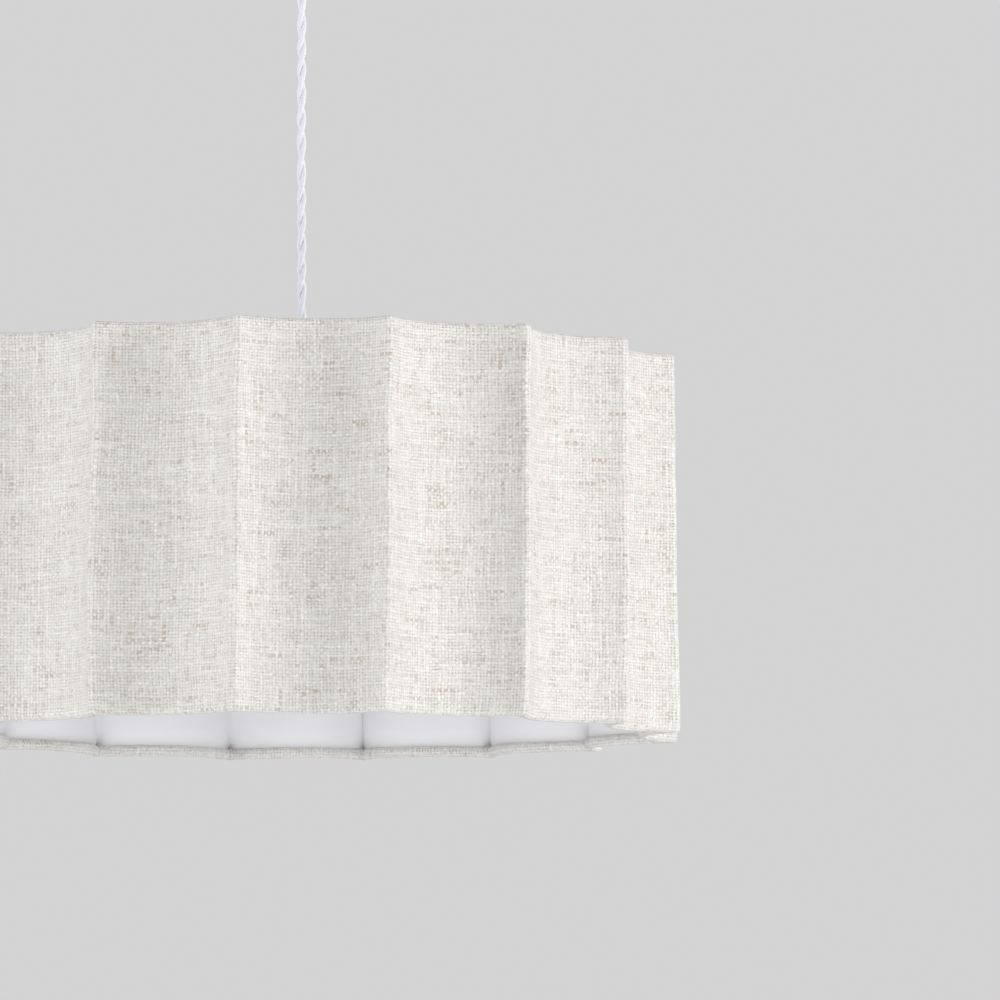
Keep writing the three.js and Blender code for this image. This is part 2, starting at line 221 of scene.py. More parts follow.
def slub_linen():
    """Plain weave on the cloth's own map: uneven cream yarns with long and short tan slubs, and painted
    shade in the weave's hollows.
    """
    material, tree, shader = new_material(
        "slub_linen", Roughness=0.95, Specular_IOR_Level=0.2, Sheen_Weight=0.15, Sheen_Roughness=0.6
    )
    cloth = add_node(tree, "ShaderNodeUVMap", {"uv_map": "UVMap"}).outputs[0]
    across, along, _ = split(tree, cloth)
    wander, pace = 1.4, 22  # in yarns, and changes in a metre
    drift = (noise(tree, cloth, pace, 2) - 0.5) * wander
    sway = (noise(tree, vector_of(tree, along, across, 3.0), pace, 2) - 0.5) * wander
    warp = across / WARP_PITCH + drift
    weft = along / WEFT_PITCH + sway
    column, row = warp.floor(), weft.floor()

    def chance(x, y, seed):
        """A number between 0 and 1 of its own for each whole x and y."""
        grain = add_node(tree, "ShaderNodeTexWhiteNoise", Vector=vector_of(tree, x, y, seed))
        return Field(tree, grain.outputs[0])

    def on_yarns(pace, seed, detail=2.0):
        """One number along every warp yarn and one along every weft yarn."""
        apart = 7.31  # keeps neighbouring yarns unlike
        return (
            noise(tree, vector_of(tree, column * apart, along * pace, seed), 1, detail, 0.65),
            noise(tree, vector_of(tree, across * pace, row * apart, seed + 50), 1, detail, 0.65),
        )

    warp_girth, weft_girth = on_yarns(80, 0.0, 3.0)
    warp_shift, weft_shift = on_yarns(110, 7.0)

    def roundness(position, girth, shift):
        """The yarn's height across its width; a thick stretch fills its place, a thin one leaves gaps."""
        place = position - position.floor() - 0.5 + (shift - 0.5) * 0.9
        aside = place * 2 * blend(girth.between(0.35, 0.6), 1.45, 0.95)
        return (1 - aside * aside).most(0).root()

    # each yarn goes over one and under the next
    lift = 0.4
    warp_height = roundness(warp, warp_girth, warp_shift) + ((weft - 0.5 - column) * math.pi).cos() * lift
    weft_height = roundness(weft, weft_girth, weft_shift) - ((warp - 0.5 - row) * math.pi).cos() * lift
    weft_shows = weft_height.above(warp_height)
    height = warp_height.most(weft_height)

    def shown(pair):
        return blend(weft_shows, *pair)

    # cream yarns, lighter and darker along their length
    patch = noise(tree, cloth, 45, 3, 0.6)
    fibre = noise(tree, cloth, 1400, 1, 0.6).between(0.38, 0.62)
    tone = shown(on_yarns(16, 13.0, 2.0)).between(0.35, 0.65) * 0.32 + fibre * 0.4
    tone = tone + shown(on_yarns(150, 17.0, 2.0)).between(0.35, 0.65) * 0.14
    tone = tone + chance(column, row, 5.0) * 0.14
    cream = colour_between(tree, tone, (0.615, 0.593, 0.558), (1.0, 0.988, 0.965))

    # tan slubs, most of them in the weft
    fleck = shown(on_yarns(45, 33.0, 3.0)) + (patch - 0.5) * 0.2 + (fibre - 0.5) * 0.09
    slub = (fleck - (1 - weft_shows) * 0.03).between(0.58, 0.68)
    yarn = colour_between(tree, slub * 0.7, cream, (0.52, 0.42, 0.31))

    # painted shade: the gaps between yarns are coloured dark, darkest at random corners and where the yarns
    # are thin
    corner = chance((warp + 0.5).floor(), (weft + 0.5).floor(), 2.0)
    thin = 1 - warp_girth.between(0.4, 0.55) * weft_girth.between(0.4, 0.55)
    depth = (thin * 0.4 + corner * 0.5).share()
    gap_painted_shade = colour_between(tree, depth, (0.93, 0.925, 0.92), (0.55, 0.505, 0.44))
    # painted shade: each yarn is lighter on its crest and darker down its sides, towards the gaps' painted
    # shade
    shade = colour_between(tree, height.between(0.3, 1.1), gap_painted_shade, (1.0, 1.0, 1.0))
    yarn_with_painted_shade = add_node(tree, "ShaderNodeVectorMath", {"operation": "MULTIPLY"})
    plug(tree, yarn, yarn_with_painted_shade.inputs[0])
    plug(tree, shade, yarn_with_painted_shade.inputs[1])
    plug(tree, yarn_with_painted_shade.outputs[0], shader.inputs["Base Color"])
    raise_surface(tree, shader, height + fibre * 0.4, 0.42 * MM, 0.8)
    return material


def liner_sheet():
    """Smooth off-white lampshade sheet with a faint cool mottle."""
    material, tree, shader = new_material("liner_sheet", Roughness=0.55, Specular_IOR_Level=0.3)
    place = add_node(tree, "ShaderNodeTexCoord").outputs["Object"]
    cloud = noise(tree, place, 26, 3)
    grain = noise(tree, place, 900, 2)
    tint = colour_between(tree, cloud.between(0.35, 0.65), (0.865, 0.865, 0.89), (0.885, 0.885, 0.905))
    plug(tree, tint, shader.inputs["Base Color"])
    raise_surface(tree, shader, grain + cloud * 2, 0.06 * MM, 0.5)
    return material


def white_coat(name, colour, roughness, grain_scale, grain_depth):
    """White powder coat or moulded plastic: an even colour, slight handling marks and a fine grain."""
    material, tree, shader = new_material(name)
    place = add_node(tree, "ShaderNodeTexCoord").outputs["Object"]
    grain = noise(tree, place, grain_scale, 2)
    wear = noise(tree, place, 60, 4, 0.6)
    worn = tuple(0.96 * c for c in colour)
    plug(tree, colour_between(tree, wear.between(0.45, 0.75), colour, worn), shader.inputs["Base Color"])
    plug(tree, blend(wear, roughness - 0.06, roughness + 0.1), shader.inputs["Roughness"])
    raise_surface(tree, shader, grain, grain_depth, 0.6)
    return material


def plated(name, colour, roughness):
    """Plated metal with fine turned lines and dulled patches."""
    material, tree, shader = new_material(name, Metallic=1.0)
    place = add_node(tree, "ShaderNodeTexCoord").outputs["Object"]
    patch = noise(tree, place, 180, 4, 0.6)
    turning = add_node(tree, "ShaderNodeMapping", Vector=place, Scale=(200, 200, 6000))
    lines = noise(tree, turning.outputs[0], 1, 2)
    dull = tuple(0.78 * c for c in colour)
    plug(tree, colour_between(tree, patch.between(0.45, 0.7), colour, dull), shader.inputs["Base Color"])
    plug(tree, blend(patch, roughness, roughness + 0.2), shader.inputs["Roughness"])
    raise_surface(tree, shader, lines, 0.02 * MM, 0.5)
    return material


def braided_cotton():
    """The white textile sleeve of one core, a fine diagonal braid on the strand's own map, with painted
    shade in the braid's grooves.
    """
    material, tree, shader = new_material(
        "braided_cotton", Roughness=0.85, Specular_IOR_Level=0.3, Sheen_Weight=0.3, Sheen_Roughness=0.4
    )
    strand = add_node(tree, "ShaderNodeUVMap", {"uv_map": "UVMap"}).outputs[0]
    around, along, _ = split(tree, strand)
    right = ((along / (0.9 * MM) + around * 8) * math.pi).sin()
    left = ((along / (0.9 * MM) - around * 8) * math.pi).sin()
    plait = right * left
    fuzz = noise(tree, strand, 900, 3)
    # painted shade: the sleeve is coloured darker in the braid's grooves and lighter on its crests
    braid_painted_shade = colour_between(tree, plait.between(-0.6, 0.5), (0.755, 0.775, 0.835), (0.83, 0.85, 0.90))
    plug(tree, braid_painted_shade, shader.inputs["Base Color"])
    raise_surface(tree, shader, plait * 0.5 + fuzz * 0.4, 0.12 * MM, 0.7)
    return material


LINEN = slub_linen()
LINER = liner_sheet()
WHITE_STEEL = white_coat("white_powder_coat", (0.86, 0.86, 0.85), 0.42, 1400, 0.05 * MM)
WHITE_PLASTIC = white_coat("white_moulding", (0.84, 0.84, 0.82), 0.3, 700, 0.015 * MM)
BALL_PLASTIC = white_coat("white_ball", (0.80, 0.80, 0.79), 0.5, 900, 0.03 * MM)
CERAMIC = white_coat("glazed_ceramic", (0.88, 0.87, 0.83), 0.16, 220, 0.03 * MM)
NICKEL = plated("nickel_plate", (0.72, 0.71, 0.68), 0.22)
BRASS = plated("plain_brass", (0.76, 0.58, 0.26), 0.24)
COTTON = braided_cotton()


# ---- making pieces ----
def keep(obj, body, slot, *nodes):
    """The piece rides on its body and stands for its nodes, which are hidden; the slot argument is not used.
    """
    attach(obj, body)
    if nodes:
        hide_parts(*nodes)
    return obj


def object_from(name, mesh, material, smooth=True):
    mesh.materials.clear()
    mesh.materials.append(material)
    obj = bpy.data.objects.new(name, mesh)
    bpy.context.scene.collection.objects.link(obj)
    if smooth:
        mesh.shade_smooth()
        mesh.set_sharp_from_angle(angle=math.radians(38))
    return obj


def from_bmesh(name, shape, material):
    bmesh.ops.remove_doubles(shape, verts=shape.verts, dist=1e-6)
    bmesh.ops.recalc_face_normals(shape, faces=shape.faces)
    mesh = bpy.data.meshes.new(name)
    shape.to_mesh(mesh)
    shape.free()
    return object_from(name, mesh, material)


def softened(outline, radius, steps=3):
    """A closed outline with every corner rounded."""
    points = [Vector(p) for p in outline]
    made = []
    for i, corner in enumerate(points):
        before, after = points[i - 1], points[(i + 1) % len(points)]
        if corner.x == 0:
            made.append(corner)
            continue
        reach = min(radius, (before - corner).length * 0.45, (after - corner).length * 0.45)
        start = corner + (before - corner).normalized() * reach
        end = corner + (after - corner).normalized() * reach
        for step in range(steps + 1):
            t = step / steps
            made.append(start * (1 - t) ** 2 + corner * 2 * t * (1 - t) + end * t * t)
    return made


def ring_outline(inner, outer, low, high):
    return [(inner, low), (outer, low), (outer, high), (inner, high)]


def spin(shape, outline, sides=96):
    """Turns a closed outline of (radius, height) round Z into the shape."""
    rings = []
    for i in range(sides):
        angle = 2 * math.pi * i / sides
        rings.append(
            [shape.verts.new((p[0] * math.cos(angle), p[0] * math.sin(angle), p[1])) for p in outline]
        )
    count = len(outline)
    for i in range(sides):
        for j in range(count):
            quad = (
                rings[i][j],
                rings[(i + 1) % sides][j],
                rings[(i + 1) % sides][(j + 1) % count],
                rings[i][(j + 1) % count],
            )
            if outline[j][0] == 0 and outline[(j + 1) % count][0] == 0:
                continue
            shape.faces.new(quad)


def turned(name, material, *outlines, soften=0.4 * MM, sides=96):
    shape = bmesh.new()
    for outline in outlines:
        spin(shape, softened(outline, soften), sides)
    bmesh.ops.dissolve_degenerate(shape, edges=shape.edges, dist=1e-7)
    return from_bmesh(name, shape, material)


def tube_into(shape, points, radius, sides=16):
    """A round wire along points, closed at its ends, into the shape."""
    rings = []
    side = Vector((0, 0, 1))
    for i, point in enumerate(points):
        ahead = (points[min(i + 1, len(points) - 1)] - points[max(i - 1, 0)]).normalized()
        side = (side - ahead * side.dot(ahead)).normalized()
        if side.length < 0.5:
            side = ahead.orthogonal().normalized()
        other = ahead.cross(side)
        ring = []
        for k in range(sides):
            angle = 2 * math.pi * k / sides
            ring.append(shape.verts.new(point + (side * math.cos(angle) + other * math.sin(angle)) * radius))
        rings.append(ring)
    for lower, upper in zip(rings, rings[1:]):
        for k in range(sides):
            shape.faces.new((lower[k], lower[(k + 1) % sides], upper[(k + 1) % sides], upper[k]))
    shape.faces.new(rings[0][::-1])
    shape.faces.new(rings[-1])


def node_tree(name, **inputs):
    """A Geometry Nodes tree with named inputs; the tree, its input fields and its output socket."""
    tree = bpy.data.node_groups.new(name, "GeometryNodeTree")
    tree.interface.new_socket("Geometry", in_out="OUTPUT", socket_type="NodeSocketGeometry")
    for key, kind in inputs.items():
        tree.interface.new_socket(key, in_out="INPUT", socket_type=kind)
    fields = [Field(tree, s) for s in tree.nodes.new("NodeGroupInput").outputs[: len(inputs)]]
    result = tree.nodes.new("NodeGroupOutput").inputs["Geometry"]
    return tree, fields, result


def finish_tree(tree, geometry, result, material):
    """Ends a tree in Realize Instances and Set Material."""
    real = add_node(tree, "GeometryNodeRealizeInstances", Geometry=geometry)
    dressed = add_node(tree, "GeometryNodeSetMaterial", Geometry=real.outputs[0], Material=material)
    tree.links.new(dressed.outputs[0], result)


def grown(name, tree, material, **values):
    """The plain mesh that a tree makes with these input values."""
    carrier = bpy.data.objects.new(name + "_carrier", bpy.data.meshes.new(name))
    bpy.context.scene.collection.objects.link(carrier)
    modifier = carrier.modifiers.new("shape", "NODES")
    modifier.node_group = tree
    for item in tree.interface.items_tree:
        if item.item_type == "SOCKET" and item.in_out == "INPUT":
            modifier[item.identifier] = values[item.name]
    depsgraph = bpy.context.evaluated_depsgraph_get()
    mesh = bpy.data.meshes.new_from_object(carrier.evaluated_get(depsgraph))
    bpy.data.objects.remove(carrier)
    mesh.name = name
    return object_from(name, mesh, material)


# ---- the flex ----
def twisted_flex():
    """Two braided cores laid round each other, from the lampholder's cap up into the ceiling cup."""
    reach, girth, pitch, sides, step = 1.25 * MM, 1.45 * MM, 30 * MM, 14, 1.2 * MM
    bottom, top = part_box("flex")[0].z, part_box("flex")[1].z
    steps = round((top - bottom) / step)
    shape = bmesh.new()
    cloth = shape.loops.layers.uv.new("UVMap")

    def hang(height):
        """The line the flex hangs on: it leans and wanders by less than a millimetre."""
        climb = (height - bottom) / (top - bottom)
        return Vector((-0.75 * climb + 0.12 * math.sin(9 * climb), 0.15 * math.sin(7 * climb), 0)) * MM

    for core in range(2):
        rings = []
        for i in range(steps + 1):
            height = bottom + (top - bottom) * i / steps
            uneven = 0.35 * math.sin(61 * height) + 0.2 * math.sin(137 * height)
            turn = 2 * math.pi * (height - bottom) / pitch + math.pi * core + 0.9 + uneven
            out = Vector((math.cos(turn), math.sin(turn), 0))
            ahead = Vector((-math.sin(turn), math.cos(turn), 0)) * (2 * math.pi * reach / pitch)
            ahead = (ahead + Vector((0, 0, 1))).normalized()
            over = ahead.cross(out)
            centre = out * reach + hang(height) + Vector((0, 0, height))
            rings.append([
                shape.verts.new(centre + (out * math.cos(a) + over * (1.08 * math.sin(a))) * girth)
                for a in (2 * math.pi * k / sides for k in range(sides))
            ])
        for i in range(steps):
            for k in range(sides):
                n = (k + 1) % sides
                face = shape.faces.new((rings[i][k], rings[i][n], rings[i + 1][n], rings[i + 1][k]))
                corners = ((k, i), (k + 1, i), (k + 1, i + 1), (k, i + 1))
                for loop, (around, along) in zip(face.loops, corners):
                    loop[cloth].uv = (around / sides, along * step)
        shape.faces.new(rings[0][::-1])
        shape.faces.new(rings[-1])
    bmesh.ops.recalc_face_normals(shape, faces=shape.faces)
    mesh = bpy.data.meshes.new("twisted_flex")
    shape.to_mesh(mesh)
    shape.free()
    flex = keep(object_from("twisted_flex", mesh, COTTON), "pendant", "flex", "flex")
    heights = [bottom + (top - bottom) * i / 20 for i in range(21)]
    line = [tuple(hang(height) + Vector((0, 0, height))) for height in heights]


twisted_flex()


# ---- the shade's cloths ----
FOLD_STEPS = 4
ARC_STEPS = 32
COLUMNS = ARC_STEPS + 2 * FOLD_STEPS  # of one scallop
ROLL_STEPS = 14
WALL_STEPS = 16
LAP_STEPS = 7  # the strip's end laps over its start, at the back
STRIP_LENGTH = 2 * math.pi * RIDGE_LOW * 1.13  # the way round the scallops against the ridges' circle


def hump(around, where):
    """The amount at its place, easing to nothing at its reach each way; around is a field of radians."""
    off = ((around - math.radians(where["at"])).math("WRAP", math.pi, -math.pi)).size()
    ease = (off / math.radians(where["reach"])).share()
    return ((ease * math.pi).cos() * 0.5 + 0.5) * where["amount"]


def scalloped_sheet_tree(material):
    """A strip bent into scallops, its two long edges rolled in through an angle."""
    number = "NodeSocketFloat"
    tree, fields, result = node_tree(
        "scalloped_sheet", lower=number, upper=number, inset=number, fold=number, roll=number,
        wrap=number, thickness=number, pucker=number, slit=number, spare=number,
    )
    lower, upper, inset, fold, roll, wrap, thickness, pucker, slit, spare = fields
    columns, rows = SCALLOPS * COLUMNS + LAP_STEPS, 2 * ROLL_STEPS + WALL_STEPS
    grid = add_node(
        tree, "GeometryNodeMeshGrid", Size_X=1.0, Size_Y=1.0, Vertices_X=columns + 1, Vertices_Y=rows + 1
    ).outputs[0]
    position = add_node(tree, "GeometryNodeInputPosition").outputs[0]
    gx, gy, _ = split(tree, position)
    column = (gx + 0.5) * columns
    row = (0.5 - gy) * rows

    # the section: a roll over the upper ring, the wall, and a roll under the lower ring
    over = (1 - row.between(0, ROLL_STEPS)) * wrap
    wall = row.between(ROLL_STEPS, ROLL_STEPS + WALL_STEPS)
    under = row.between(ROLL_STEPS + WALL_STEPS, rows) * wrap
    height = upper - lower - roll * 2
    z = upper - roll + roll * over.sin() - height * wall - roll * under.sin()
    down = roll * (wrap - over) + height * wall + roll * under
    gathers_from, edge_from, slit_from = 2.2, 2.6, 1.75  # radians round a roll
    turned_in = (over.above(gathers_from) + under.above(gathers_from)).share()

    # the plan: an arc in each scallop and a small round fold on each ridge
    scallop = ((column + 0.001) / COLUMNS).floor()
    local = column - (scallop + 0.5) * COLUMNS
    side, away = local.sign(), local.size()
    lap_rise, gather_reach = 4, 6  # in columns
    lapped = column.between(SCALLOPS * COLUMNS - lap_rise, SCALLOPS * COLUMNS)
    near_ridge = away.between(COLUMNS / 2 - gather_reach, COLUMNS / 2)
    gather = near_ridge * turned_in * pucker
    z = z + near_ridge * near_ridge * (under.above(edge_from) - over.above(edge_from)) * pucker * 0.7
    inward = inset + roll * (1 - over.cos()) + roll * (1 - under.cos()) - lapped * thickness * 1.3 + gather
    level = ((z - lower) / (upper - lower)).share()
    ridge = blend(level, RIDGE_LOW, RIDGE_HIGH) + spare
    depth = blend(level, DEPTH_LOW, DEPTH_HIGH) + spare
    chord = ridge * math.sin(HALF)
    arc = (chord * chord + depth * depth) / (depth * 2)
    centre = ridge * math.cos(HALF) - depth + arc
    arc = arc + inward
    bend = (fold - inward).most(0.3 * MM)
    aside = centre * math.sin(HALF)
    tip = centre * math.cos(HALF) - ((arc + bend) * (arc + bend) - aside * aside).root()
    meet = (tip * math.sin(HALF)).math("ARCTAN2", centre - tip * math.cos(HALF))
    swept = away.between(0, ARC_STEPS / 2) * meet
    folded = away.between(ARC_STEPS / 2, COLUMNS / 2)
    facing = (meet + HALF) * folded - meet
    on_fold = folded.above(0)
    out = blend(on_fold, centre - arc * swept.cos(), tip * math.cos(HALF) + bend * facing.cos())
    along = blend(on_fold, arc * swept.sin(), tip * math.sin(HALF) + bend * facing.sin()) * side
    middle = scallop * (2 * HALF) + math.pi
    around = middle + local * (2 * HALF / COLUMNS)
    out = out + hump(around, BULGE) * (1 - level)
    middle = middle + (hump(around, DRAWN) + TWIST) * math.radians(1) * (1 - level)
    x = out * middle.sin() + along * middle.cos()
    y = along * middle.sin() - out * middle.cos()

    # the cloth's own map, in metres along the strip and down it
    travelled = (arc * swept + bend * (meet + HALF) * folded) / (arc * meet + bend * (meet + HALF))
    width = STRIP_LENGTH / SCALLOPS
    across = (scallop + 0.5) * width + side * travelled * (width / 2)

    # slits in the upper roll where the fitter's arms come up
    every_fourth = scallop - (scallop / 4).floor() * 4
    at_arm = (1 - every_fourth.size().above(0.5)) * (1 - away.above(1))
    cut = at_arm * over.above(slit_from) * slit
    grid = add_node(
        tree, "GeometryNodeDeleteGeometry", {"domain": "FACE"}, Geometry=grid, Selection=cut
    ).outputs[0]
    grid = add_node(
        tree, "GeometryNodeStoreNamedAttribute", {"data_type": "FLOAT2", "domain": "CORNER"},
        Geometry=grid, Name="UVMap", Value=vector_of(tree, across, down, 0.0),
    ).outputs[0]
    sheet = add_node(
        tree, "GeometryNodeSetPosition", Geometry=grid, Position=vector_of(tree, x, y, z)
    ).outputs[0]

    # cloth is never quite true: slow waves everywhere
    here = add_node(tree, "GeometryNodeInputPosition").outputs[0]
    waves = add_node(tree, "ShaderNodeTexNoise", Vector=here, Scale=13.0, Detail=1.5)
    level_wave, upright_wave = 3.2 * MM, 1.8 * MM
    wx, wy, wz = split(tree, waves.outputs["Color"])
    lift = vector_of(tree, (wx - 0.5) * level_wave, (wy - 0.5) * level_wave, (wz - 0.5) * upright_wave)
    sheet = add_node(tree, "GeometryNodeSetPosition", Geometry=sheet, Offset=lift).outputs[0]
    finish_tree(tree, sheet, result, material)
    return tree


def thicken(obj, thickness):
    """Gives a sheet its thickness, half to each side."""
    solid = obj.modifiers.new("thickness", "SOLIDIFY")
    solid.thickness = thickness
    solid.offset = 0
    depsgraph = bpy.context.evaluated_depsgraph_get()
    mesh = bpy.data.meshes.new_from_object(obj.evaluated_get(depsgraph))
    obj.modifiers.clear()
    obj.data = mesh
    return obj


CLOTH = 0.9 * MM
LINER_SHEET = 0.5 * MM
LINER_MARGIN = 5 * MM  # from the shade's edges to the liner's
LINER_INSET = 4 * MM  # the liner is level with the rolled hems
ROLL = 2.9 * MM
WRAP = math.radians(275)  # how far round a ring the cloth's edge is turned
FOLD = 3.2 * MM  # radius of the fold on a ridge
SPARE = FOLD * 1.05  # added to a ridge before it is folded, because the fold takes it back


def linen_cover():
    values = dict(
        lower=EDGE_LOW, upper=EDGE_HIGH - CLOTH / 2, inset=CLOTH / 2, fold=FOLD, roll=ROLL,
        wrap=WRAP, thickness=CLOTH, pucker=1.4 * MM, slit=1.0, spare=SPARE,
    )
    cover = grown("linen_cover_cloth", scalloped_sheet_tree(LINEN), LINEN, **values)
    thicken(cover, CLOTH)
    keep(cover, "shade", "linen", "linen_cover")


def liner():
    values = dict(
        lower=EDGE_LOW + LINER_MARGIN, upper=EDGE_HIGH - LINER_MARGIN, inset=LINER_INSET, fold=FOLD,
        roll=0.0, wrap=0.0, thickness=LINER_SHEET, pucker=0.0, slit=0.0, spare=SPARE,
    )
    piece = grown("liner_sheet_piece", scalloped_sheet_tree(LINER), LINER, **values)
    shape = bmesh.new()
    shape.from_mesh(piece.data)
    bmesh.ops.dissolve_degenerate(shape, edges=shape.edges, dist=1e-6)
    shape.to_mesh(piece.data)
    shape.free()
    thicken(piece, LINER_SHEET)
    keep(piece, "shade", "liner", "liner")


# ---- the wire frame ----
RIM = 3.05 * MM  # from the cover's face in to the middle of a ring's wire


def plan_point(station, steps, inset, z):
    """A point round the scalloped plan, with the ridges folded over a small radius."""
    level = (z - EDGE_LOW) / (EDGE_HIGH - EDGE_LOW)
    ridge = RIDGE_LOW + (RIDGE_HIGH - RIDGE_LOW) * level
    depth = DEPTH_LOW + (DEPTH_HIGH - DEPTH_LOW) * level
    chord = ridge * math.sin(HALF)
    arc = (chord**2 + depth**2) / (2 * depth)
    centre = ridge * math.cos(HALF) - depth + arc
    arc += inset
    sweep = math.asin(centre * math.sin(HALF) / arc) - HALF
    scallop, part = divmod(station, steps)
    angle = sweep * (2 * part / steps - 1)
    out, along = centre - arc * math.cos(angle), arc * math.sin(angle)
    around = 360 * (station / steps - 0.5) / SCALLOPS

    def strayed(where):
        off = min(abs((around - where["at"] + 180) % 360 - 180) / where["reach"], 1)
        return where["amount"] * (0.5 + 0.5 * math.cos(math.pi * off)) * (1 - level)

    out += strayed(BULGE)
    middle = 2 * HALF * scallop + math.radians(strayed(DRAWN) + TWIST * (1 - level))
    return Vector((
        out * math.sin(middle) + along * math.cos(middle),
        along * math.sin(middle) - out * math.cos(middle),
        z,
    ))


def ring_wires():
    steps, play, wire = 16, 0.15 * MM, 1.6 * MM
    shape = bmesh.new()
    for z in (EDGE_LOW + RIM, EDGE_HIGH - RIM):
        around = [plan_point(i, steps, RIM + play, z) for i in range(SCALLOPS * steps)]
        tube_into(shape, [*around, around[0]], wire, 10)
    keep(from_bmesh("ring_wires", shape, WHITE_STEEL), "shade", "white_steel", "top_ring", "bottom_ring")


def fitter():
    """The hub and its four arms, each with a weld at the hub and at the upper ring."""
    low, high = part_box("fitter_hub")
    arm_low, arm_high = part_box("fitter_arm_1")
    wire = (arm_high.y - arm_low.y) / 2
    level = (low.z + high.z) / 2
    foot = arm_high.x - wire
    bend, bore = 18 * MM, 21 * MM
    shape = bmesh.new()
    spin(shape, softened(ring_outline(bore, high.x, low.z, high.z), 0.4 * MM))
    for arm in range(4):
        turn = Matrix.Rotation(arm * math.pi / 2, 3, "Z")
        start, corner, end = (
            Vector((foot - bend, 0, level)), Vector((foot, 0, level)), Vector((foot, 0, level + bend)),
        )
        path = [Vector((high.x - 0.4 * MM, 0, level)), start.lerp(Vector((high.x, 0, level)), 0.5)]
        for i in range(13):
            t = i / 12
            path.append(start * (1 - t) ** 2 + corner * 2 * t * (1 - t) + end * t * t)
        path.append(Vector((foot, 0, arm_high.z)))
        tube_into(shape, [turn @ p for p in path], wire, 20)
        for place, size in (
            (Vector((high.x - 0.3 * MM, 0, level)), (2.2, 2.4, 1.25)),
            (Vector((foot + wire - 0.2 * MM, 0, EDGE_HIGH - RIM - 1.2 * MM)), (0.9, 1.9, 2.6)),
        ):
            spot = turn.to_4x4() @ Matrix.Translation(place) @ Matrix.Diagonal((*[s * MM for s in size], 1))
            bmesh.ops.create_uvsphere(shape, u_segments=14, v_segments=8, radius=1, matrix=spot)
    names = [f"fitter_arm_{i}" for i in range(1, 5)]
    keep(from_bmesh("fitter", shape, WHITE_STEEL), "shade", "white_steel", "fitter_hub", *names)


# ---- things that repeat round an axis ----
def ribs_tree(material):
    """Small upright blocks set evenly round the Z axis."""
    number, count = "NodeSocketFloat", "NodeSocketInt"
    tree, fields, result = node_tree(
        "ribs", count=count, radius=number, middle=number, height=number, width=number, depth=number
    )
    count, radius, middle, height, width, depth = fields
    circle = add_node(tree, "GeometryNodeMeshCircle", Vertices=count, Radius=radius).outputs[0]
    place = add_node(tree, "GeometryNodeInputPosition").outputs[0]
    x, y, _ = split(tree, place)
    face = vector_of(tree, 0.0, 0.0, y.math("ARCTAN2", x))
    block = add_node(tree, "GeometryNodeMeshCube", Size=vector_of(tree, depth, width, height)).outputs[0]
    row = add_node(tree, "GeometryNodeInstanceOnPoints", Points=circle, Instance=block, Rotation=face)
    moved = add_node(
        tree, "GeometryNodeTransform", Geometry=row.outputs[0], Translation=vector_of(tree, 0.0, 0.0, middle)
    )
    finish_tree(tree, moved.outputs[0], result, material)
    return tree


def thread_tree(material):
    """A round-crested screw thread: a small round section carried along a helix."""
    number = "NodeSocketFloat"
    tree, fields, result = node_tree(
        "thread", turns=number, radius=number, height=number, bottom=number, crest=number
    )
    turns, radius, height, bottom, crest = fields
    helix = add_node(
        tree, "GeometryNodeCurveSpiral", Resolution=40, Rotations=turns, Start_Radius=radius,
        End_Radius=radius, Height=height,
    ).outputs[0]
    round_section = add_node(
        tree, "GeometryNodeCurvePrimitiveCircle", {"mode": "RADIUS"}, Resolution=8, Radius=crest
    ).outputs[0]
    swept = add_node(
        tree, "GeometryNodeCurveToMesh", Curve=helix, Profile_Curve=round_section, Fill_Caps=True
    ).outputs[0]
    moved = add_node(
        tree, "GeometryNodeTransform", Geometry=swept, Translation=vector_of(tree, 0.0, 0.0, bottom)
    )
    finish_tree(tree, moved.outputs[0], result, material)
    return tree


def join(name, *objects):
    """One piece from several, with its faces pointing out."""
    shape = bmesh.new()
    for obj in objects:
        shape.from_mesh(obj.data)
        material = obj.data.materials[0]
        bpy.data.objects.remove(obj)
    bmesh.ops.recalc_face_normals(shape, faces=shape.faces)
    mesh = bpy.data.meshes.new(name)
    shape.to_mesh(mesh)
    shape.free()
    return object_from(name, mesh, material)


# ---- the lampholder ----
def clamping_ring():
    low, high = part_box("retaining_ring")
    bore, collar = 20.1 * MM, 23.6 * MM
    flange = high.z - 2.2 * MM
    body = turned("ring_body", WHITE_PLASTIC, [
        (bore, low.z), (collar, low.z), (collar, flange), (high.x, flange), (high.x, high.z), (bore, high.z),
    ])
    ribs = grown(
        "ring_ribs", ribs_tree(WHITE_PLASTIC), WHITE_PLASTIC, count=24, radius=collar + 0.4 * MM,
        middle=(low.z + flange) / 2, height=flange - low.z, width=2.2 * MM, depth=1.6 * MM,
    )
    keep(join("clamping_ring", body, ribs), "clamp_ring", "white_plastic", "retaining_ring")


def hub_washer():
    low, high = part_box("hub_washer")
    bore = 20.4 * MM
    piece = turned("washer", WHITE_PLASTIC, ring_outline(bore, high.x, low.z, high.z))
    keep(piece, "washer", "white_plastic", "hub_washer")


def holder_shell():
    low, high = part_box("holder_shell")
    bore, thread, shoulder = 17.6 * MM, 19.2 * MM, high.z - 3 * MM
    body = turned("shell_body", WHITE_PLASTIC, [
        (bore, low.z), (thread, low.z), (thread, shoulder), (high.x, shoulder), (high.x, high.z),
        (bore, high.z),
    ])
    pitch = 3 * MM
    turns = math.floor((shoulder - low.z) / pitch) - 1
    ridge = grown(
        "shell_thread", thread_tree(WHITE_PLASTIC), WHITE_PLASTIC, turns=float(turns),
        radius=thread - 0.1 * MM, height=turns * pitch, bottom=low.z + pitch / 2, crest=0.7 * MM,
    )
    keep(join("lampholder_shell", body, ridge), "pendant", "white_plastic", "holder_shell")


